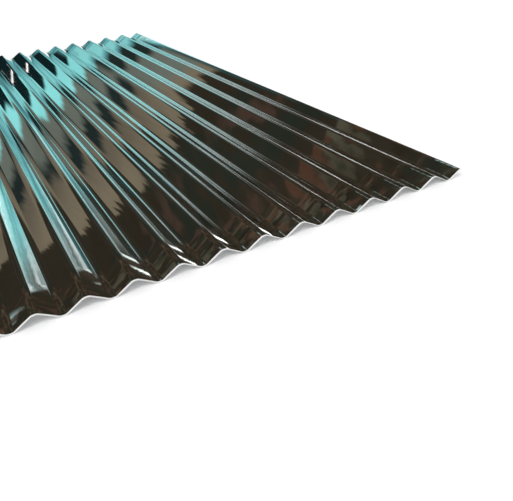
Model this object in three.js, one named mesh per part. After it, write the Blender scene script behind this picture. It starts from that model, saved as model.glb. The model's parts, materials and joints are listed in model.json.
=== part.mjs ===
// A corrugated galvanised steel sheet, of the kind laid on roofs and nailed up as fencing.
//
// It is one piece of cold-rolled strip, passed once through a corrugating mill and cut to length, so it
// is one solid: a wave of constant thickness, made of round bends joined by straight flanks, with the
// same section from end to end.
//
// Frame: millimetres, +Z up. X runs across the waves and Y along them. The origin is at the middle of
// the sheet, on the level surface that the undersides of its valleys rest on.

import * as THREE from "three";

// Driving dimensions.
const PITCH = 76.2; // from one ridge's top line to the next: three inches
const WAVE_DEPTH = 18; // from a valley up to a ridge, measured on one face
const BEND_RADIUS = 18; // of the sheet's mid-surface, at every ridge and valley
const RIDGES = 11; // whole ridges; beyond the last on each side, the edge turns up towards one more
const EDGE_TRIM = 7.2; // how far short of that further ridge's top line the side edge is slit
const SHEET_LENGTH = 2000; // along the waves
const THICKNESS = 0.8; // of the steel with its zinc
const BEND_FLATS = 11; // round each bend: an odd number puts one of them level, on top or underneath

// The sizes that follow from them.
const SHEET_WIDTH = (RIDGES + 1) * PITCH - 2 * EDGE_TRIM;
const bend = bendBetween(PITCH / 2, WAVE_DEPTH, BEND_RADIUS);

// The bend that joins two flanks: its radius, the flanks' slope, and the turn from one flat to the next.
// A ridge and the next valley share the radius, and lie halfPitch apart sideways and depth apart in
// height. The straight flank touches both. The radius can't pass the one that leaves no straight.
function bendBetween(halfPitch, depth, wantedRadius) {
  const radius = Math.min(wantedRadius, (halfPitch ** 2 + depth ** 2) / (4 * depth));
  const drop = 2 * radius - depth;
  const sine = Math.min(1, (2 * radius) / Math.hypot(halfPitch, drop));
  const slope = Math.asin(sine) - Math.atan2(drop, halfPitch);
  return { radius, slope, turn: (2 * slope) / (BEND_FLATS + 1) };
}

// A station is a fold line of the faceted wave, seen in section: its point on the mid-surface, and the
// step from there to the upper face. The flats touch the true bend at their middles, and the flanks
// are its tangents, so the corners between them lie a little outside it.
// This gives one bend's stations from left to right. A ridge curves round a centre below it (bulge 1),
// and a valley round a centre above it (bulge -1).
function bendStations(centreX, bulge) {
  const centreZ = bulge * (WAVE_DEPTH / 2 - bend.radius);
  const outside = 1 / Math.cos(bend.turn / 2);
  return Array.from({ length: BEND_FLATS + 1 }, (_, corner) => {
    const lean = (corner + 0.5) * bend.turn - bend.slope;
    const outward = new THREE.Vector2(Math.sin(lean), bulge * Math.cos(lean)).multiplyScalar(outside);
    return {
      point: new THREE.Vector2(centreX, centreZ).addScaledVector(outward, bend.radius),
      toUpperFace: outward.clone().multiplyScalar((bulge * THICKNESS) / 2),
    };
  });
}

// The whole wave, from the further ridge on the left to the one on the right. Half pitches are counted
// from the middle of the sheet, and both ends of the count are ridges.
function waveStations() {
  const halfPitches = RIDGES + 1;
  const stations = [];
  for (let place = -halfPitches; place <= halfPitches; place++) {
    const bulge = (place + halfPitches) % 2 === 0 ? 1 : -1;
    stations.push(...bendStations((place * PITCH) / 2, bulge));
  }
  return stations;
}

// The station where the sheet is slit at x, square to the flat between two neighbours.
function slitBetween(left, right, x) {
  const share = (x - left.point.x) / (right.point.x - left.point.x);
  const along = right.point.clone().sub(left.point).normalize();
  return {
    point: left.point.clone().lerp(right.point, share),
    toUpperFace: new THREE.Vector2(-along.y, along.x).multiplyScalar(THICKNESS / 2),
  };
}

// The wave slit to the sheet's width, with a station on each side edge.
function slitToWidth(stations, halfWidth) {
  const first = stations.findIndex((station) => station.point.x > -halfWidth);
  const last = stations.findLastIndex((station) => station.point.x < halfWidth);
  return [
    slitBetween(stations[first - 1], stations[first], -halfWidth),
    ...stations.slice(first, last + 1),
    slitBetween(stations[last], stations[last + 1], halfWidth),
  ];
}

// The section's outline: along the upper face to the right, across the side edge, and back along the
// lower face.
function sectionShape(stations) {
  const upper = stations.map(({ point, toUpperFace }) => point.clone().add(toUpperFace));
  const lower = stations.map(({ point, toUpperFace }) => point.clone().sub(toUpperFace));
  return new THREE.Shape([...upper, ...lower.reverse()]);
}

// The section drawn out to the cut length. It is stood along Y, centred, and lifted until the undersides
// of its valleys are at Z 0.
function sheetGeometry() {
  const section = sectionShape(slitToWidth(waveStations(), SHEET_WIDTH / 2));
  const geometry = new THREE.ExtrudeGeometry(section, { depth: SHEET_LENGTH, bevelEnabled: false });
  geometry.rotateX(Math.PI / 2);
  geometry.translate(0, SHEET_LENGTH / 2, (WAVE_DEPTH + THICKNESS) / 2);
  return geometry;
}

function galvanisedSteel() {
  return new THREE.MeshStandardMaterial({ color: 0xd2d5d6, roughness: 0.12, metalness: 1 });
}

const sheet = new THREE.Mesh(sheetGeometry(), galvanisedSteel());
sheet.name = "corrugated_sheet";

const part = new THREE.Group();
part.add(sheet);

export default part;
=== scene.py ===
# %% [markdown]
# # A corrugated galvanised steel sheet
#
# The object is one length of roofing sheet: a flat strip of thin steel, dipped in zinc until it is as bright
# as a mirror, then passed through a corrugating mill and cut to length. It lies on a level floor.
#
# There are two things to make. The first is the sheet itself, as one mesh whose bends are truly round. The
# second is what stands round it, because a mirror has next to no colour of its own: it shows what it faces.

# %% Load the fixed frame
import json
import math

import bmesh
import bpy
from mathutils import Matrix, Vector


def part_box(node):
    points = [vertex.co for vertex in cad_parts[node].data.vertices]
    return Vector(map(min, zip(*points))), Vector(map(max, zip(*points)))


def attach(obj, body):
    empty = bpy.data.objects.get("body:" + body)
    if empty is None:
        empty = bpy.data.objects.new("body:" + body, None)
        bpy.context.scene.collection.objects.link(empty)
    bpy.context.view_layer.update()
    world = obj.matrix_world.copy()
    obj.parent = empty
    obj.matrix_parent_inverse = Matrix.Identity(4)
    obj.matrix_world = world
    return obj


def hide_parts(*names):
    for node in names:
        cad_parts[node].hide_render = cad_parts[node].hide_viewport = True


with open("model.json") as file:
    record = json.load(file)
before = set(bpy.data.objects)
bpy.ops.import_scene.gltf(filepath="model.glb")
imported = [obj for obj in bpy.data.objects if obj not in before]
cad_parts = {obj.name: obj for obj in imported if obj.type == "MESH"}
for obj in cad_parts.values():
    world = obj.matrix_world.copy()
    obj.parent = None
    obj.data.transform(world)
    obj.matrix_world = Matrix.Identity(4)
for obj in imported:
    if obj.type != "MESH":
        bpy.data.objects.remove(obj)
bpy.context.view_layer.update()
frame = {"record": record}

low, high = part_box("corrugated_sheet")
print("the sheet's box, in metres:", [round(side, 5) for side in high - low])

# %% [markdown]
# ## The sizes of the wave
#
# Everything that the sheet's mesh needs is a size of the rolled wave. The length and the height come from
# the frame's box. The pitch comes from the frame's record, which marks two valleys that are five waves
# apart. What is left is the metal's thickness, and how far short of the next ridge the sides of the strip
# were slit. They are named here, and nothing below has a size of its own that one of these could give.

# %% Sizes, in metres
THICKNESS = 0.0008
EDGE_TRIM = 0.0072
RIDGES = 11
WAVES_BETWEEN_SEATS = 5

seats = {mount["name"]: mount["pos_m"] for mount in frame["record"]["mounts"]}
pitch = (seats["valley_seat_right"][0] - seats["valley_seat_middle"][0]) / WAVES_BETWEEN_SEATS
length = high.y - low.y
depth = high.z - low.z - THICKNESS
middle_z = (low.z + high.z) / 2
half_width = (RIDGES + 1) * pitch / 2 - EDGE_TRIM
print(f"pitch {pitch:.4f}, depth {depth:.4f}, length {length:.3f}, half width {half_width:.4f}")

# %% [markdown]
# ## The shape that the rolls leave
#
# A rolled wave isn't a sine curve. The mill's rolls press a round crown into every ridge and every valley,
# and the metal between them stays nearly flat. Where the crown ends the metal turns more sharply, in a
# shoulder, and the flank springs back a little, so that it is bowed. None of this is more than a fraction of
# a millimetre, but a mirror shows every bit of it. The whole half wave is made of arcs that meet smoothly.
# Four of them are chosen here, and the flank takes up what is left of the pitch and the depth. Its lean is
# found by halving a range, because a steeper flank always makes a deeper wave.

# %% The arcs of half a wave
CROWN_RADIUS = 0.018
CROWN_TURN = math.radians(15)
SHOULDER_RADIUS = 0.007
FLANK_BOW = math.radians(3)


def arc_run(radius, start, end):
    """How far an arc goes across the wave, from one lean to another."""
    return radius * abs(math.sin(end) - math.sin(start))


def arc_fall(radius, start, end):
    """How far an arc goes down between the same two leans."""
    return radius * abs(math.cos(end) - math.cos(start))


def flank_radius(lean):
    """The radius of a flank of this mean lean that fills the half pitch between its shoulders."""
    upper, lower = lean - FLANK_BOW / 2, lean + FLANK_BOW / 2
    bends = 2 * arc_run(CROWN_RADIUS, 0, CROWN_TURN)
    bends += arc_run(SHOULDER_RADIUS, CROWN_TURN, upper) + arc_run(SHOULDER_RADIUS, CROWN_TURN, lower)
    return (pitch / 2 - bends) / (math.sin(lower) - math.sin(upper))


def wave_depth(lean):
    """How deep the whole wave is, from crown to valley, with a flank of this mean lean."""
    upper, lower = lean - FLANK_BOW / 2, lean + FLANK_BOW / 2
    bends = 2 * arc_fall(CROWN_RADIUS, 0, CROWN_TURN)
    bends += arc_fall(SHOULDER_RADIUS, CROWN_TURN, upper) + arc_fall(SHOULDER_RADIUS, CROWN_TURN, lower)
    return bends + arc_fall(flank_radius(lean), upper, lower)


HALVINGS = 40
shallow = math.radians(24)
steep = math.radians(40)
for _ in range(HALVINGS):
    lean = (shallow + steep) / 2
    if wave_depth(lean) < depth:
        shallow = lean
    else:
        steep = lean
print(f"flanks lean {math.degrees(lean):.2f} degrees, bowed to a radius of {flank_radius(lean):.3f} m")

# %% [markdown]
# ## Helpers for working by hand, in code
#
# In the window, you would click an edge and press a key. In code, the click becomes a test on where the edge
# is, and everything is deselected first, because an operator acts on all that happens to be selected.


# %% Selecting by place
TOUCHING = 1e-6  # two points that are closer than this, in metres, are one


def deselect_all():
    if bpy.context.mode != "OBJECT":
        bpy.ops.object.mode_set(mode="OBJECT")
    bpy.ops.object.select_all(action="DESELECT")


def select_edges(piece, wanted):
    """In edit mode, selects the edges whose two ends pass the test, and says how many there are."""
    bpy.ops.mesh.select_mode(type="EDGE")
    bpy.ops.mesh.select_all(action="DESELECT")
    mesh = bmesh.from_edit_mesh(piece.data)
    chosen = [edge for edge in mesh.edges if wanted(edge.verts[0].co, edge.verts[1].co)]
    for edge in chosen:
        edge.select = True
    mesh.select_flush_mode()
    bmesh.update_edit_mesh(piece.data)
    return len(chosen)


def near(value, target):
    return abs(value - target) < TOUCHING


def apply_modifiers(piece):
    for modifier in list(piece.modifiers):
        bpy.ops.object.modifier_apply(modifier=modifier.name)


def extent(piece):
    """The lowest and highest corner of a piece's mesh, to a hundredth of a millimetre."""
    corners = [vertex.co for vertex in piece.data.vertices]
    return [[round(pick(co[axis] for co in corners), 5) for axis in range(3)] for pick in (min, max)]


# %% [markdown]
# ## Half a wave, rolled from one edge
#
# A wave could be drawn as a curve and extruded. Rolling it is closer to what the mill does, and every bend
# comes out as a true arc. The piece starts as a plane as long as the sheet, and all of it but one long edge
# is deleted. That edge lies on the top of a ridge and stands for the strip of metal. Spin sweeps it round
# one roll after another: the crown, the shoulder, the bowed flank, and the same two again, turned over, down
# to the bottom of the valley. Each arc's centre lies square to the metal where the last arc ended, so the
# surface never has a crease.

# %% One long edge at the top of a ridge
LENGTHWISE_CUTS = 19
deselect_all()
bpy.ops.mesh.primitive_plane_add(size=1)
sheet = bpy.context.object
sheet.name = "zinc_sheet"
sheet.scale = (pitch, length, 1)
sheet.location = (-pitch / 2, 0, middle_z + depth / 2)
bpy.ops.object.transform_apply(location=True, rotation=True, scale=True)
bpy.ops.object.mode_set(mode="EDIT")
select_edges(sheet, lambda a, b: near(a.x, -pitch) and near(b.x, -pitch))
bpy.ops.mesh.delete(type="VERT")
select_edges(sheet, lambda a, b: True)
bpy.ops.mesh.subdivide(number_cuts=LENGTHWISE_CUTS)
print("edges along the top of the ridge:", select_edges(sheet, lambda a, b: True))

# %% Rolling it arc by arc
edge_x = 0.0
edge_z = middle_z + depth / 2
edge_lean = 0.0


def roll(radius, new_lean, steps):
    """Sweeps the sheet's open edge round an arc, until the metal leans as asked."""
    global edge_x, edge_z, edge_lean
    side = 1 if new_lean > edge_lean else -1
    centre_x = edge_x - side * radius * math.sin(edge_lean)
    centre_z = edge_z - side * radius * math.cos(edge_lean)
    select_edges(sheet, lambda a, b: near(a.x, edge_x) and near(b.x, edge_x))
    bpy.ops.mesh.spin(
        steps=steps, angle=edge_lean - new_lean, center=(centre_x, 0, centre_z), axis=(0, 1, 0))
    edge_x = centre_x + side * radius * math.sin(new_lean)
    edge_z = centre_z + side * radius * math.cos(new_lean)
    edge_lean = new_lean
    print(f"rolled to x {edge_x * 1000:.2f} mm, z {edge_z * 1000:.2f} mm")


CROWN_STEPS = 8
SHOULDER_STEPS = 7
FLANK_STEPS = 5
roll(CROWN_RADIUS, CROWN_TURN, CROWN_STEPS)
roll(SHOULDER_RADIUS, lean - FLANK_BOW / 2, SHOULDER_STEPS)
roll(flank_radius(lean), lean + FLANK_BOW / 2, FLANK_STEPS)
roll(SHOULDER_RADIUS, CROWN_TURN, SHOULDER_STEPS)
roll(CROWN_RADIUS, 0.0, CROWN_STEPS)
bpy.ops.object.mode_set(mode="OBJECT")
print("half a wave, at the middle of the metal:", *extent(sheet))

# %% [markdown]
# ## The whole width
#
# Every wave is rolled alike, and each is the same on both sides of its ridge. So a mirror makes the other
# half, and an array sets whole waves side by side, a pitch apart, and welds each to the next. The strip was
# slit a little short of a ridge on both sides. The array runs past both slit edges, and two cuts take off
# what is over.

# %% Copy the wave and trim the sides
other_half = sheet.modifiers.new("other_half", "MIRROR")
other_half.use_axis = (True, False, False)
other_half.merge_threshold = TOUCHING
apply_modifiers(sheet)
sheet.location.x = -(RIDGES // 2 + 1) * pitch
bpy.ops.object.transform_apply(location=True, rotation=False, scale=False)
waves = sheet.modifiers.new("waves", "ARRAY")
waves.count = RIDGES + 2
waves.use_relative_offset = False
waves.use_constant_offset = True
waves.constant_offset_displace = (pitch, 0, 0)
waves.use_merge_vertices = True
waves.merge_threshold = TOUCHING
apply_modifiers(sheet)
bpy.ops.object.mode_set(mode="EDIT")
for side in (-1, 1):
    bpy.ops.mesh.select_all(action="SELECT")
    bpy.ops.mesh.bisect(plane_co=(side * half_width, 0, 0), plane_no=(side, 0, 0), clear_outer=True)
bpy.ops.object.mode_set(mode="OBJECT")
print("the whole width, at the middle of the metal:", *extent(sheet))

# %% [markdown]
# ## The metal's thickness
#
# So far the mesh is the middle of the metal, with no thickness. Solidify gives it both faces and a rim, and
# an even thickness round every bend, as rolled metal has. The faces must all point the same way first. The
# shear and the slitter leave a small round on every cut edge, and that round is what catches the light, so
# the rim gets a bevel.

# %% Give the sheet its faces and its cut edges
EDGE_ROUND = 0.00015
ROUND_STEPS = 2
CUT_EDGE = math.radians(60)  # only an edge sharper than this gets the round
SMOOTH_BELOW = math.radians(35)
bpy.ops.object.mode_set(mode="EDIT")
bpy.ops.mesh.select_all(action="SELECT")
bpy.ops.mesh.remove_doubles(threshold=TOUCHING)
bpy.ops.mesh.normals_make_consistent(inside=False)
if sum(face.normal.z for face in bmesh.from_edit_mesh(sheet.data).faces) < 0:
    bpy.ops.mesh.flip_normals()
bpy.ops.object.mode_set(mode="OBJECT")
wall = sheet.modifiers.new("wall", "SOLIDIFY")
wall.thickness = THICKNESS
wall.offset = 0
wall.use_even_offset = True
rim = sheet.modifiers.new("rim", "BEVEL")
rim.width = EDGE_ROUND
rim.segments = ROUND_STEPS
rim.limit_method = "ANGLE"
rim.angle_limit = CUT_EDGE
apply_modifiers(sheet)
bpy.ops.object.shade_smooth_by_angle(angle=SMOOTH_BELOW)
print("the finished sheet:", *extent(sheet), "with", len(sheet.data.polygons), "faces")

# %% [markdown]
# ## Nodes by the handful
#
# A material is a row of small steps, so a few helpers keep the wiring short enough to read. Maths steps take
# either a number or another node's socket. Effects that are used more than once become node groups, which
# are made once and given their own values wherever they are placed.


# %% Helpers for wiring nodes
def add_node(tree, kind, **settings):
    node = tree.nodes.new(kind)
    for name, value in settings.items():
        setattr(node, name, value)
    return node


def feed(tree, socket, value):
    """Links a socket to another node's output, or sets it to a plain value."""
    if isinstance(value, bpy.types.NodeSocket):
        tree.links.new(value, socket)
    else:
        socket.default_value = value


def maths(tree, operation, *values, clamp=False):
    node = add_node(tree, "ShaderNodeMath", operation=operation, use_clamp=clamp)
    for socket, value in zip(node.inputs, values):
        feed(tree, socket, value)
    return node.outputs["Value"]


def blend_colours(tree, factor, first, second, blend_type="MIX"):
    node = add_node(tree, "ShaderNodeMix", data_type="RGBA", blend_type=blend_type)
    feed(tree, node.inputs["Factor"], factor)
    feed(tree, node.inputs["A"], first)
    feed(tree, node.inputs["B"], second)
    return node.outputs["Result"]


def ease(tree, value, start, end):
    """Rises smoothly from 0 to 1 as a value goes from start to end."""
    node = add_node(tree, "ShaderNodeMapRange", interpolation_type="SMOOTHSTEP")
    for name, given in (("Value", value), ("From Min", start), ("From Max", end)):
        feed(tree, node.inputs[name], given)
    return node.outputs["Result"]


# %% Helpers for noise
def noise_place(tree, place, stretch, shift=(0, 0, 0)):
    """A place scaled and moved, for a noise that is finer where the stretch is larger."""
    mapping = add_node(tree, "ShaderNodeMapping")
    feed(tree, mapping.inputs["Vector"], place)
    mapping.inputs["Location"].default_value = shift
    mapping.inputs["Scale"].default_value = stretch
    return mapping.outputs["Vector"]


def noise(tree, place, detail):
    cloud = add_node(tree, "ShaderNodeTexNoise")
    feed(tree, cloud.inputs["Vector"], place)
    cloud.inputs["Scale"].default_value = 1.0
    cloud.inputs["Detail"].default_value = detail
    return cloud.outputs


# %% Helpers for node groups
def new_group(name, inputs, outputs):
    """An empty shader node group, with its named input and output sockets."""
    group = bpy.data.node_groups.new(name, "ShaderNodeTree")
    for direction, sockets in (("INPUT", inputs), ("OUTPUT", outputs)):
        for socket_name, socket_type in sockets.items():
            group.interface.new_socket(socket_name, in_out=direction, socket_type=socket_type)
    return group, group.nodes.new("NodeGroupInput").outputs, group.nodes.new("NodeGroupOutput").inputs


def place_group(tree, group, **values):
    node = add_node(tree, "ShaderNodeGroup", node_tree=group)
    for name, value in values.items():
        feed(tree, node.inputs[name], value)
    return node.outputs


def print_nodes(name, tree):
    print(f"{name}: {len(tree.nodes)} nodes, {len(tree.links)} links")


# %% [markdown]
# ## What happened to the zinc
#
# The zinc left the dip like a mirror, and everything after that marked it a little. The rolls drew long fine
# marks down its length. Sheets that slid over each other rubbed the tops of the ridges and the bottoms of
# the valleys. The shear left a bare lip along the cut ends, and a pale strip is painted along it and along
# the slit sides as a painted highlight, for the glint that a cut edge catches. The sheet is also never quite
# true: it quilts by less than a tenth of a millimetre, which bends what it mirrors.
#
# Two groups do this. One says how close a surface is to a level, which finds ridge lines, valley lines and
# cut edges alike. The other draws streaks, coarse or fine.

# %% Close to a level
close_to, given, put = new_group(
    "close_to",
    {"Value": "NodeSocketFloat", "Level": "NodeSocketFloat", "Reach": "NodeSocketFloat"},
    {"Mask": "NodeSocketFloat"})
gap = maths(close_to, "ABSOLUTE", maths(close_to, "SUBTRACT", given["Value"], given["Level"]))
far_off = ease(close_to, gap, 0.0, given["Reach"])
close_to.links.new(maths(close_to, "SUBTRACT", 1.0, far_off), put["Mask"])
print_nodes("close_to", close_to)

# %% Long streaks
STREAK_DETAIL = 3.0
STREAK_STARTS = 0.42  # the noise runs from 0 to 1, around one half
STREAK_IS_FULL = 0.72

long_streaks, given, put = new_group(
    "long_streaks",
    {"Place": "NodeSocketVector", "Across": "NodeSocketFloat", "Along": "NodeSocketFloat"},
    {"Mask": "NodeSocketFloat"})
per_metre = add_node(long_streaks, "ShaderNodeCombineXYZ")
for axis, given_name in (("X", "Across"), ("Y", "Along"), ("Z", "Across")):
    feed(long_streaks, per_metre.inputs[axis], given[given_name])
stretched = add_node(long_streaks, "ShaderNodeVectorMath", operation="MULTIPLY")
feed(long_streaks, stretched.inputs[0], given["Place"])
feed(long_streaks, stretched.inputs[1], per_metre.outputs["Vector"])
streak = noise(long_streaks, stretched.outputs["Vector"], STREAK_DETAIL)["Fac"]
long_streaks.links.new(ease(long_streaks, streak, STREAK_STARTS, STREAK_IS_FULL), put["Mask"])
print_nodes("long_streaks", long_streaks)

# %% [markdown]
# ## Bright zinc
#
# A metal's base colour is the colour that it mirrors in. Zinc's is nearly white and a trace blue. The marks
# make it a little duller and rougher, and they feed only the base colour, the roughness, the metallic value
# and the bump, so the same zinc works under any other light. The strip along the cut ends and slit sides is
# a bare lip with a painted highlight: it is left pale, rough and barely metallic, so that it looks white
# from all sides, as the glint on a cut edge does.

# %% The zinc's values
ZINC = (0.8, 0.81, 0.82, 1)
RUBBED_ZINC = (0.86, 0.87, 0.87, 1)
# a bare lip with a painted highlight: the pale colour of the strip along the cut ends and slit sides
BARE_LIP_WITH_PAINTED_HIGHLIGHT = (0.9, 0.9, 0.89, 1)
RIDGE_RUB = 0.00012  # how far below the ridge's top the rubbing reaches
VALLEY_RUB = 0.00008
RUB_STRETCH = (14, 5, 14)
RUB_DETAIL = 3.0
RUB_STARTS = 0.4
RUB_IS_FULL = 0.65
RUB_COLOUR_SHARE = 0.6
# how far the strip of bare lip and painted highlight reaches from the cut ends, and from the slit sides
LIP_AND_HIGHLIGHT_REACH = 0.0052
SLIT_LIP_AND_HIGHLIGHT_REACH = 0.0007
LIP_LEVEL = 0.3  # the mask's value at which the lip ends sharply
LIP_METAL_LOSS = 0.85
LIP_ROUGHNESS = 0.5
MIRROR_ROUGHNESS = 0.02
STREAK_ROUGHNESS = 0.02  # what the streaks add, fine and broad alike
RUB_ROUGHNESS = 0.12
QUILTING = 0.00009  # the height of the slow waves in the sheet
QUILT_STRETCH = (9, 6, 9)
QUILT_DETAIL = 2.0
CHATTER = 0.0000025  # the height of the marks from the rolls

# %% Where the zinc is marked
zinc = bpy.data.materials.new("bright_zinc")
zinc.use_nodes = True
tree = zinc.node_tree
shader = tree.nodes["Principled BSDF"]
place = add_node(tree, "ShaderNodeTexCoord").outputs["Object"]
split = add_node(tree, "ShaderNodeSeparateXYZ")
feed(tree, split.inputs["Vector"], place)
off_middle_x = maths(tree, "ABSOLUTE", split.outputs["X"])
off_middle_y = maths(tree, "ABSOLUTE", split.outputs["Y"])


def level_mask(value, level, reach):
    return place_group(tree, close_to, Value=value, Level=level, Reach=reach)["Mask"]


fine = place_group(tree, long_streaks, Place=place, Across=900.0, Along=2.5)["Mask"]
broad = place_group(tree, long_streaks, Place=place, Across=120.0, Along=1.2)["Mask"]
ridge_rub = level_mask(split.outputs["Z"], high.z, RIDGE_RUB)
valley_rub = level_mask(split.outputs["Z"], low.z + THICKNESS, VALLEY_RUB)
patches = noise(tree, noise_place(tree, place, RUB_STRETCH), RUB_DETAIL)["Fac"]
patches = ease(tree, patches, RUB_STARTS, RUB_IS_FULL)
rub = maths(tree, "MULTIPLY", maths(tree, "MAXIMUM", ridge_rub, valley_rub), patches)
# the strip along the cut ends and slit sides: a bare lip, with a painted highlight over it
cut_end_lip_and_highlight = level_mask(off_middle_y, high.y, LIP_AND_HIGHLIGHT_REACH)
slit_side_lip_and_highlight = level_mask(off_middle_x, high.x, SLIT_LIP_AND_HIGHLIGHT_REACH)
lip_with_painted_highlight = maths(tree, "GREATER_THAN", maths(tree, "MAXIMUM", cut_end_lip_and_highlight, slit_side_lip_and_highlight), LIP_LEVEL)
print_nodes("the marks", tree)

# %% Its colour, metal and roughness
worn = blend_colours(tree, maths(tree, "MULTIPLY", rub, RUB_COLOUR_SHARE), ZINC, RUBBED_ZINC)
# the strip of bare lip gets its pale painted highlight here, and below it loses most of its metal and gets
# rough
feed(tree, shader.inputs["Base Color"], blend_colours(tree, lip_with_painted_highlight, worn, BARE_LIP_WITH_PAINTED_HIGHLIGHT))
metal_loss = maths(tree, "MULTIPLY", lip_with_painted_highlight, LIP_METAL_LOSS)
feed(tree, shader.inputs["Metallic"], maths(tree, "SUBTRACT", 1.0, metal_loss))
dulled = MIRROR_ROUGHNESS
for mark, added in ((fine, STREAK_ROUGHNESS), (broad, STREAK_ROUGHNESS), (rub, RUB_ROUGHNESS)):
    dulled = maths(tree, "ADD", dulled, maths(tree, "MULTIPLY", mark, added))
dulled = maths(tree, "MAXIMUM", dulled, maths(tree, "MULTIPLY", lip_with_painted_highlight, LIP_ROUGHNESS))
feed(tree, shader.inputs["Roughness"], dulled)
print_nodes("and what they change", tree)

# %% Its quilting and roll marks
quilt_bump = add_node(tree, "ShaderNodeBump")
quilt_bump.inputs["Distance"].default_value = QUILTING
quilt = noise(tree, noise_place(tree, place, QUILT_STRETCH), QUILT_DETAIL)["Fac"]
feed(tree, quilt_bump.inputs["Height"], quilt)
chatter_bump = add_node(tree, "ShaderNodeBump")
chatter_bump.inputs["Distance"].default_value = CHATTER
feed(tree, chatter_bump.inputs["Height"], fine)
feed(tree, chatter_bump.inputs["Normal"], quilt_bump.outputs["Normal"])
feed(tree, shader.inputs["Normal"], chatter_bump.outputs["Normal"])
print_nodes("the whole zinc", tree)

# %% Hand the sheet to the frame
sheet.data.materials.clear()
sheet.data.materials.append(zinc)
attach(sheet, "root")
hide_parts("corrugated_sheet")
print(f"{sheet.name} takes the place of the plain solid")

# %% [markdown]
# ## The floor and the light
#
# The floor is plain and pale. A lift of plain light on it, which only the camera and reflections see, takes
# it to white without lighting the sheet any more, and it still darkens where the sheet's shadow falls. The
# world does the same: a soft level light for the floor, and white for the camera.


# %% Seen, and not only lighting
def seen_directly(tree):
    """1 for a ray from the camera, off a mirror or through glass, and 0 for one that only carries light."""
    path = add_node(tree, "ShaderNodeLightPath")
    seen = maths(tree, "MAXIMUM", path.outputs["Is Camera Ray"], path.outputs["Is Glossy Ray"])
    return maths(tree, "MAXIMUM", seen, path.outputs["Is Transmission Ray"])


# %% The floor
FLOOR_SIZE = 60
FLOOR_DROP = 0.0002  # keeps the floor from touching the sheet's underside
FLOOR_LIFT = 0.06
FLOOR_PALE = (0.92, 0.92, 0.92, 1)
FLOOR_ROUGHNESS = 0.9
WHITE = (1, 1, 1, 1)
deselect_all()
bpy.ops.mesh.primitive_plane_add(size=FLOOR_SIZE, location=(0, 0, low.z - FLOOR_DROP))
floor = bpy.context.object
floor.name = "floor"
pale = bpy.data.materials.new("pale_floor")
pale.use_nodes = True
shader = pale.node_tree.nodes["Principled BSDF"]
shader.inputs["Base Color"].default_value = FLOOR_PALE
shader.inputs["Roughness"].default_value = FLOOR_ROUGHNESS
shader.inputs["Specular IOR Level"].default_value = 0
shader.inputs["Emission Color"].default_value = WHITE
lifted = maths(pale.node_tree, "MULTIPLY", seen_directly(pale.node_tree), FLOOR_LIFT)
feed(pale.node_tree, shader.inputs["Emission Strength"], lifted)
floor.data.materials.append(pale)
print(f"the floor lies {(low.z - floor.location.z) * 1000:.1f} mm under the sheet")

# %% The world
SOFT_LIGHT = 0.74
world = bpy.data.worlds.new("studio")
bpy.context.scene.world = world
world.use_nodes = True
tree = world.node_tree
sky = tree.nodes["Background"]
sky.inputs["Color"].default_value = WHITE
extra = maths(tree, "MULTIPLY", seen_directly(tree), 1 - SOFT_LIGHT)
feed(tree, sky.inputs["Strength"], maths(tree, "ADD", SOFT_LIGHT, extra))
print(f"the world lights at {SOFT_LIGHT} and is seen at 1")

# %% The lamp
LAMP_PLACE = (-1.8, -1.2, 3.0)
LAMP_ENERGY = 1.25
LAMP_SOFTNESS = math.radians(25)
lamp = bpy.data.objects.new("key", bpy.data.lights.new("key", "SUN"))
bpy.context.scene.collection.objects.link(lamp)
lamp.data.angle = LAMP_SOFTNESS
lamp.data.energy = LAMP_ENERGY
lamp.location = LAMP_PLACE
lamp.rotation_euler = (-lamp.location).to_track_quat("-Z", "Y").to_euler()
lamp.visible_glossy = False
print("the lamp stands at", LAMP_PLACE, "and isn't mirrored")

# %% [markdown]
# ## What the mirror faces
#
# In a white room the sheet would be white. This one lies in a dark hall, with bright things standing in it,
# and all of its lines and bands are those things, drawn out by the waves. So the sheet gets such a hall:
# dark walls and a dark roof far off, and painted cards nearer by. Only reflections see them. The camera, the
# floor and the lamp's light don't. A whole room could be built instead, but a card is one flat face, and its
# paint can be changed a band at a time until the lines on the sheet fall where they should.
#
# The cards are painted in bands, which may be level, arched, or spread like a fan from a corner. A ridge
# turns a level band into two thin lines, one on its far shoulder and one in the valley, and a flank turns
# the same band into a slanting patch. A fan's rays come out as long streaks down the flanks that face away.


# %% Cards that only a mirror sees
def unseen(card):
    card.visible_camera = False
    card.visible_diffuse = False
    card.visible_transmission = False
    card.visible_shadow = False


def add_card(name, centre, facing, width, height, material):
    """An upright or level card, from its centre, the way it faces and its size."""
    deselect_all()
    bpy.ops.mesh.primitive_plane_add(size=1)
    card = bpy.context.object
    card.name = name
    card.scale = (width, height, 1)
    card.rotation_mode = "QUATERNION"
    card.rotation_quaternion = Vector(facing).to_track_quat("Z", "Y")
    card.location = centre
    bpy.ops.object.transform_apply(location=True, rotation=True, scale=True)
    card.data.materials.append(material)
    unseen(card)
    print(f"{name}: {width:.3f} by {height:.3f} m")


# %% Uneven paint
CLOUD_DETAIL = 4.0
TINT_STARTS = 0.52
TINT_IS_FULL = 0.62

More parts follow.
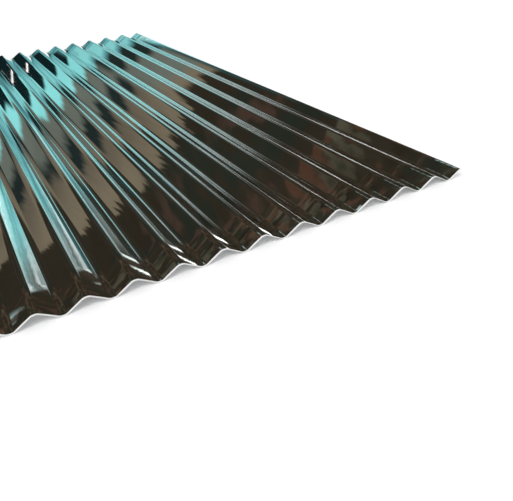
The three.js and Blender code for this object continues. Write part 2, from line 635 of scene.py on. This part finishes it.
uneven, given, put = new_group(
    "uneven_paint",
    {"Place": "NodeSocketVector", "Color": "NodeSocketColor", "Tint": "NodeSocketColor",
     "Amount": "NodeSocketFloat", "Spread": "NodeSocketFloat"},
    {"Color": "NodeSocketColor"})
clouds = noise(uneven, given["Place"], CLOUD_DETAIL)
sway = maths(uneven, "MULTIPLY", maths(uneven, "SUBTRACT", clouds["Fac"], 0.5), given["Amount"])
brightness = maths(uneven, "ADD", 1.0, sway)
shade = add_node(uneven, "ShaderNodeCombineColor")
for channel in ("Red", "Green", "Blue"):
    feed(uneven, shade.inputs[channel], brightness)
shaded = blend_colours(uneven, 1.0, given["Color"], shade.outputs["Color"], "MULTIPLY")
channels = add_node(uneven, "ShaderNodeSeparateColor")
feed(uneven, channels.inputs["Color"], clouds["Color"])
tinted = ease(uneven, channels.outputs["Blue"], TINT_STARTS, TINT_IS_FULL)
spots = maths(uneven, "MULTIPLY", tinted, given["Spread"])
uneven.links.new(blend_colours(uneven, spots, shaded, given["Tint"]), put["Color"])
print_nodes("uneven_paint", uneven)

# %% The shapes that bands can take
BAND_TOP = 2.0  # the height at which every list of bands has ended
ARCH = 0.38  # how fast an arched zone falls away on both sides
ARCH_MIDDLE = -0.62  # where in x it stands highest
LOWEST_ARCH = 0.3
NARROWEST_FAN = 0.1
WOBBLE_STRETCH = (20, 20, 2.5)  # many narrow spikes along a band's edge
WOBBLE_DETAIL = 6.0


def band_scale(tree, shape, x):
    """What the bands' heights are multiplied by: an arch, a fan, or the same number all along."""
    if shape == "arch":
        off_middle = maths(tree, "SUBTRACT", x, ARCH_MIDDLE)
        drop = maths(tree, "MULTIPLY", maths(tree, "MULTIPLY", off_middle, off_middle), ARCH)
        return maths(tree, "MAXIMUM", maths(tree, "SUBTRACT", 1.0, drop), LOWEST_ARCH)
    if shape == "fan":
        return maths(tree, "MAXIMUM", x, NARROWEST_FAN)
    return shape


def ragged_height(tree, place, z, ragged):
    """The height above the floor, made uneven so that a band's edge has spikes."""
    wobble = noise(tree, noise_place(tree, place, WOBBLE_STRETCH), WOBBLE_DETAIL)["Fac"]
    wobble = maths(tree, "SUBTRACT", wobble, 0.5)
    wobble = maths(tree, "MULTIPLY", maths(tree, "MULTIPLY", wobble, ragged), z)
    return maths(tree, "MULTIPLY", z, maths(tree, "ADD", 1.0, wobble))


def band_ramp(tree, bands):
    """A colour ramp with one stop for each (height, colour) of the bands."""
    ramp = add_node(tree, "ShaderNodeValToRGB")
    stops = ramp.color_ramp.elements
    while len(stops) < len(bands):
        stops.new(1.0)
    for stop, (level, colour) in zip(stops, bands):
        stop.position = level / BAND_TOP
        stop.color = (*colour, 1)
    return ramp


# %% Painting a card
RAYS = (60, 1.2, 1)  # how fine a fan's rays are, across and along
RAY_TINT = (0.02, 0.11, 0.12)
RAY_AMOUNT = 2.2
RAY_SPREAD = 0.55
SPOT_FADE = 0.2  # metres from a spot's lowest edge to its full strength
SPOT_SHIFT = 3.7  # keeps one kind of spot from lying over the next


def paint_zone(tree, bands, shape, x, height):
    """One zone's colour: its bands, and in a fan its rays as well."""
    level = maths(tree, "DIVIDE", height, band_scale(tree, shape, x))
    level = maths(tree, "DIVIDE", level, BAND_TOP, clamp=True)
    ramp = band_ramp(tree, bands)
    feed(tree, ramp.inputs["Fac"], level)
    if shape != "fan":
        return ramp.outputs["Color"]
    rays = add_node(tree, "ShaderNodeCombineXYZ")
    feed(tree, rays.inputs["X"], level)
    feed(tree, rays.inputs["Y"], x)
    return place_group(tree, uneven, Place=noise_place(tree, rays.outputs["Vector"], RAYS),
                       Color=ramp.outputs["Color"], Tint=(*RAY_TINT, 1),
                       Amount=RAY_AMOUNT, Spread=RAY_SPREAD)["Color"]


def band_paint(name, zones, ragged=0.0, grain=(1, 1, 1), amount=0.0, spots=()):
    """Glowing paint: zones of (start in x, softness, shape, bands) under spots of (colour, lowest, spread).

    A shape is "arch", "fan" or a number, which stretches level bands by so much.
    """
    material = bpy.data.materials.new(name)
    material.use_nodes = True
    tree = material.node_tree
    tree.nodes.clear()
    place = add_node(tree, "ShaderNodeTexCoord").outputs["Object"]
    split = add_node(tree, "ShaderNodeSeparateXYZ")
    feed(tree, split.inputs["Vector"], place)
    x = split.outputs["X"]
    z = split.outputs["Z"]
    height = ragged_height(tree, place, z, ragged)
    paint = None
    for start, softness, shape, bands in zones:
        zone = paint_zone(tree, bands, shape, x, height)
        if paint is None:
            paint = zone
        else:
            here = ease(tree, x, start - softness, start + softness)
            paint = blend_colours(tree, here, paint, zone)
    for number, (tint, lowest, spread) in enumerate(spots):
        above = maths(tree, "MULTIPLY", ease(tree, z, lowest, lowest + SPOT_FADE), spread)
        spot_place = noise_place(tree, place, grain, (0, SPOT_SHIFT * number, 0))
        paint = place_group(tree, uneven, Place=spot_place, Color=paint, Tint=(*tint, 1),
                            Amount=amount, Spread=above)["Color"]
    glow = add_node(tree, "ShaderNodeEmission")
    feed(tree, glow.inputs["Color"], paint)
    feed(tree, add_node(tree, "ShaderNodeOutputMaterial").inputs["Surface"], glow.outputs["Emission"])
    print_nodes(name, tree)
    return material


def one_zone(bands, stretch=1.0):
    """A single zone that fills a card. It has nothing to its left, so its start and softness are idle."""
    return [(0, 0, stretch, bands)]


def plain(colour):
    """The zone of a card that is one colour all over."""
    return one_zone([(0.0, colour), (BAND_TOP, colour)])


# %% [markdown]
# ## The dark hall
#
# Four walls and a roof close the hall, all of them far off. A real hall's walls would be a room to build and
# light. Here they glow by themselves at a level of a few hundredths, with soft patches of olive and rust, so
# that the dark flanks of the sheet are never quite black or quite even.

# %% Walls and roof
HALL_DARK = (0.032, 0.0262, 0.017)
HALL_RUST = (0.068, 0.042, 0.03)
HALL_OLIVE = (0.022, 0.027, 0.019)
PALE_OLIVE = (0.08, 0.073, 0.05)
RUST = (0.11, 0.05, 0.03)
HALL_REACH = 12.0
HALL_SIDE = 4 * HALL_REACH
ROOF_HEIGHT = 16.0
EVERYWHERE = -100  # a lowest edge so far down that the spots lie at every height
hall_spots = [(PALE_OLIVE, EVERYWHERE, 0.9), (RUST, EVERYWHERE, 0.6), (HALL_OLIVE, EVERYWHERE, 0.8)]
wall_paint = band_paint(
    "wall_paint", plain(HALL_DARK), grain=(0.3, 0.3, 0.7), amount=1.0, spots=hall_spots)
for name, facing in (
    ("wall_left", (1, 0, 0)), ("wall_right", (-1, 0, 0)), ("wall_near", (0, 1, 0)), ("wall_far", (0, -1, 0))
):
    add_card(name, -HALL_REACH * Vector(facing), facing, HALL_SIDE, HALL_SIDE, wall_paint)
add_card("roof", (0, 0, ROOF_HEIGHT), (0, 0, -1), HALL_SIDE, HALL_SIDE, wall_paint)

# %% [markdown]
# ## The card beyond the sheet's far end
#
# This card gives the sheet most of its lines, because the waves run straight at it. It has nine zones from
# left to right. The first is dark but for one grey band. The next three have the same bands at slightly
# different heights: black near the floor, a strip of cyan, grey green, a dark streak and khaki, with the
# hall above them. The three after that turn the cyan into streaks, and then pale it to grey. The last two
# are dark, with a few narrow bright bands that leave thin lines on the ridges. A colour above 1 is brighter
# than white, so that even a line that is narrower than a pixel still shows.

# %% Colours of the bands
BLACK = (0.0055, 0.016, 0.018)
STREAK = (0.017, 0.027, 0.025)
DIM_BROWN = (0.054, 0.043, 0.031)
DEEP_KHAKI = (0.13, 0.112, 0.08)
KHAKI = (0.2, 0.165, 0.112)
DULL_GREEN = (0.06, 0.065, 0.05)
DIM_GREEN = (0.12, 0.13, 0.11)
GREY_GREEN = (0.15, 0.17, 0.14)
TEAL = (0.05, 0.18, 0.19)
SEA_CYAN = (0.117, 0.35, 0.37)
DEEP_CYAN = (0.2, 0.58, 0.6)
LIGHT_CYAN = (0.27, 0.72, 0.71)
CYAN = (0.29, 0.82, 0.8)
PALE_CYAN = (0.55, 0.95, 0.92)
SMOKE = (0.2, 0.24, 0.22)
MIST = (0.26, 0.33, 0.315)
GREY_CYAN = (0.36, 0.5, 0.48)
PALE_RIM = (0.62, 0.7, 0.68)
RIM_WHITE = (1.0, 1.1, 1.05)
DAYLIGHT = (1.2, 1.3, 1.2)
MIDDAY = (1.7, 1.8, 1.7)
BRIGHT_DAYLIGHT = (3.0, 3.1, 3.0)
contrast = BRIGHT_DAYLIGHT[1] / HALL_DARK[1]
print(f"the brightest band is {contrast:.0f} times as bright as the hall")

# %% Bands of the left zones
edge_bands = [
    (0.0, HALL_DARK), (1.2, HALL_DARK), (1.3, GREY_CYAN), (1.7, GREY_CYAN), (1.85, HALL_DARK),
    (BAND_TOP, HALL_DARK)]
outer_left_bands = [
    (0.0, BLACK), (0.29, BLACK), (0.31, CYAN), (0.4, CYAN), (0.44, GREY_GREEN), (0.53, GREY_GREEN),
    (0.6, STREAK), (0.68, STREAK), (0.75, DEEP_KHAKI), (1.1, KHAKI), (1.2, KHAKI), (1.24, HALL_DARK),
    (BAND_TOP, HALL_DARK)]
middle_left_bands = [
    (0.0, BLACK), (0.315, BLACK), (0.33, CYAN), (0.42, CYAN), (0.46, GREY_GREEN), (0.63, GREY_GREEN),
    (0.71, STREAK), (0.79, STREAK), (0.85, DEEP_KHAKI), (1.1, KHAKI), (1.2, KHAKI), (1.24, HALL_DARK),
    (BAND_TOP, HALL_DARK)]
left_bands = [
    (0.0, BLACK), (0.385, BLACK), (0.4, CYAN), (0.495, CYAN), (0.53, GREY_GREEN), (0.65, GREY_GREEN),
    (0.71, STREAK), (0.79, STREAK), (0.85, DEEP_KHAKI), (1.1, KHAKI), (1.19, KHAKI), (1.23, HALL_DARK),
    (BAND_TOP, HALL_DARK)]

# %% Bands of the middle zones
turn_bands = [
    (0.0, DEEP_CYAN), (0.05, SEA_CYAN), (0.09, TEAL), (0.13, SEA_CYAN), (0.17, DEEP_CYAN),
    (0.22, SEA_CYAN), (0.27, DEEP_CYAN), (0.32, LIGHT_CYAN), (0.39, LIGHT_CYAN), (0.42, SEA_CYAN),
    (0.45, STREAK), (0.54, STREAK), (0.59, GREY_GREEN), (0.8, GREY_GREEN), (0.88, KHAKI), (0.94, KHAKI),
    (1.0, HALL_DARK), (BAND_TOP, HALL_DARK)]
fan_bands = [
    (0.0, LIGHT_CYAN), (0.06, SEA_CYAN), (0.12, LIGHT_CYAN), (0.15, SEA_CYAN), (0.2, LIGHT_CYAN),
    (0.25, SEA_CYAN), (0.28, SEA_CYAN), (0.3, PALE_CYAN), (0.36, PALE_CYAN), (0.4, DEEP_CYAN),
    (0.46, SEA_CYAN), (0.55, LIGHT_CYAN), (0.62, DEEP_CYAN), (0.68, LIGHT_CYAN), (0.76, LIGHT_CYAN),
    (0.82, PALE_CYAN), (1.0, PALE_CYAN), (1.2, DEEP_CYAN), (1.4, TEAL), (1.6, DULL_GREEN),
    (BAND_TOP, HALL_DARK)]
grey_fan_bands = [
    (0.0, MIST), (0.15, SMOKE), (0.26, SMOKE), (0.3, PALE_RIM), (0.34, PALE_RIM), (0.38, SMOKE),
    (0.46, MIST), (0.5, PALE_RIM), (0.56, PALE_RIM), (0.62, SMOKE), (0.76, MIST), (0.82, PALE_RIM),
    (0.92, PALE_RIM), (1.0, DIM_GREEN), (1.3, DIM_BROWN), (1.6, HALL_DARK), (BAND_TOP, HALL_DARK)]

# %% Bands of the right zones
right_bands = [
    (0.0, DIM_BROWN), (0.2, DIM_GREEN), (0.42, DIM_BROWN), (0.47, RIM_WHITE), (0.56, RIM_WHITE),
    (0.61, DIM_BROWN), (0.8, DIM_BROWN), (1.2, HALL_DARK), (BAND_TOP, HALL_DARK)]
outer_bands = [
    (0.0, HALL_DARK), (0.34, HALL_DARK), (0.4, BRIGHT_DAYLIGHT), (0.48, BRIGHT_DAYLIGHT),
    (0.54, HALL_DARK), (0.92, DIM_BROWN), (0.99, MIDDAY), (1.05, MIDDAY), (1.12, DIM_BROWN),
    (1.6, HALL_DARK), (BAND_TOP, HALL_DARK)]

# %% The far card
FAR_CARD_Y = 2.0
CARD_REACH = 5.0
FAR_CARD_HEIGHT = 2.2
CARD_GRAIN = (1.1, 1.1, 2.6)
CARD_UNEVEN = 0.5
FAR_RAGGED = 0.3
far_zones = [
    (-CARD_REACH, 0, 1.0, edge_bands),
    (-2.8, 0.2, "arch", outer_left_bands),
    (-0.95, 0.08, "arch", middle_left_bands),
    (-0.58, 0.03, "arch", left_bands),
    (0.0, 0.06, 1.0, turn_bands),
    (0.4, 0.04, "fan", fan_bands),
    (0.95, 0.25, "fan", grey_fan_bands),
    (1.45, 0.1, 1.0, right_bands),
    (2.3, 0.3, 1.0, outer_bands)]
far_spots = [(HALL_OLIVE, 1.15, 1.0), (HALL_RUST, 1.25, 0.9)]
far_paint = band_paint("far_paint", far_zones, FAR_RAGGED, CARD_GRAIN, CARD_UNEVEN, far_spots)
add_card("far_card", (0, FAR_CARD_Y, FAR_CARD_HEIGHT / 2), (0, -1, 0),
         2 * CARD_REACH, FAR_CARD_HEIGHT, far_paint)

# %% The white bar in front of it
BAR_WHITE = (1.3, 1.25, 1.2)
BAR_X = -0.325
BAR_Z = 0.259
BAR_GAP = 0.01
BAR_WIDTH = 0.21
BAR_HEIGHT = 0.012
bar_paint = band_paint("bar_paint", plain(BAR_WHITE))
add_card("white_bar", (BAR_X, FAR_CARD_Y - BAR_GAP, BAR_Z), (0, -1, 0), BAR_WIDTH, BAR_HEIGHT, bar_paint)

# %% [markdown]
# ## The other sides
#
# The sheet should look like bright zinc from anywhere, so the other sides get bands too. The card behind the
# camera is like the far one, and taller, for a lower view. The cards at the sides have a strip of daylight
# near the floor and two broad bands higher up. Skylights show in the flanks when they are seen from
# the side, and others, far up over the far end, when they are seen from the front right.

# %% The card behind the camera
NEAR_CARD_Y = -3.0
SIDE_CARD_HEIGHT = 4.4
TALL = 2.5
SIDE_RAGGED = 0.1
near_left_bands = [
    (0.0, BLACK), (0.84, BLACK), (0.88, CYAN), (1.0, CYAN), (1.03, GREY_GREEN), (1.16, GREY_GREEN),
    (1.2, STREAK), (1.25, STREAK), (1.3, DEEP_KHAKI), (1.5, KHAKI), (1.54, HALL_DARK),
    (BAND_TOP, HALL_DARK)]
near_right_bands = [
    (0.0, HALL_DARK), (0.3, HALL_DARK), (0.33, DAYLIGHT), (0.5, DAYLIGHT), (0.55, GREY_CYAN),
    (0.7, HALL_DARK), (BAND_TOP, HALL_DARK)]
near_zones = [
    (-CARD_REACH, 0, TALL, near_right_bands),
    (-1.3, 0.2, TALL, near_left_bands),
    (1.3, 0.2, TALL, near_right_bands)]
near_paint = band_paint(
    "near_paint", near_zones, SIDE_RAGGED, CARD_GRAIN, CARD_UNEVEN, [(HALL_OLIVE, 3.8, 1.0)])
add_card("near_card", (0, NEAR_CARD_Y, SIDE_CARD_HEIGHT / 2), (0, 1, 0),
         2 * CARD_REACH, SIDE_CARD_HEIGHT, near_paint)

# %% The cards at the sides
side_bands = [
    (0.0, HALL_DARK), (0.05, HALL_DARK), (0.07, DAYLIGHT), (0.22, DAYLIGHT), (0.26, HALL_DARK),
    (0.65, HALL_DARK), (0.72, GREY_CYAN), (0.92, GREY_CYAN), (0.96, HALL_DARK), (1.04, KHAKI), (1.3, KHAKI),
    (1.36, HALL_DARK), (BAND_TOP, HALL_DARK)]
side_paint = band_paint(
    "side_paint", one_zone(side_bands, TALL), SIDE_RAGGED, CARD_GRAIN, CARD_UNEVEN,
    [(HALL_RUST, 2.5, 1.0)])
middle_y = (NEAR_CARD_Y + FAR_CARD_Y) / 2
for name, side in (("left_card", -1), ("right_card", 1)):
    add_card(name, (side * CARD_REACH, middle_y, SIDE_CARD_HEIGHT / 2), (-side, 0, 0),
             FAR_CARD_Y - NEAR_CARD_Y, SIDE_CARD_HEIGHT, side_paint)

# %% Skylights
GLASS_SHARE = 0.72  # how much of each step is glass and not roof
GLASS_GRAIN = (2, 2, 2)
GLASS_UNEVEN = 0.8
skylights = (
    # name, middle x, first and last y, height, length along x, number
    ("left", -2.3, -2.4, 1.5, 5.0, 2.0, 5),
    ("right", 2.3, -2.4, 1.5, 5.0, 2.0, 5),
    ("far", 1.4, 5.0, 10.0, 15.9, 2.6, 4),
)
for row, x, first, last, height, length, number in skylights:
    paint = band_paint(f"skylight_{row}", plain(GREY_CYAN), grain=GLASS_GRAIN, amount=GLASS_UNEVEN,
                       spots=[(SMOKE, 0, 1.0)])
    step = (last - first) / number
    for pane in range(number):
        add_card(f"skylight_{row}_{pane + 1}", (x, first + (pane + 0.5) * step, height), (0, 0, -1),
                 length, GLASS_SHARE * step, paint)

# %% [markdown]
# ## The camera
#
# The camera stands at the sheet's near left, low over it, and looks along the waves, down and to the right.
# It could be turned by hand until the view looks right. Here its turns are three plain angles, one after
# another: how far it leans to its side, how far it looks down, and how far it is turned from the waves.

# %% The camera
CAMERA_PLACE = (-0.3854, -1.7376, 0.4998)
HEADING = math.radians(26.46)
TILT = math.radians(31.43)
ROLL = math.radians(-4.96)
LENS = 40.04  # millimetres, on a sensor 36 mm wide
camera = bpy.data.objects.new("camera", bpy.data.cameras.new("camera"))
bpy.context.scene.collection.objects.link(camera)
bpy.context.scene.camera = camera
camera.data.sensor_width = 36
camera.data.lens = LENS
camera.matrix_world = (
    Matrix.Translation(CAMERA_PLACE)
    @ Matrix.Rotation(-HEADING, 4, "Z")
    @ Matrix.Rotation(math.pi / 2 - TILT, 4, "X")
    @ Matrix.Rotation(ROLL, 4, "Z")
)
bpy.context.scene.view_settings.view_transform = "Standard"
print(f"the camera looks {math.degrees(TILT):.0f} degrees down, {math.degrees(HEADING):.0f} to the right")
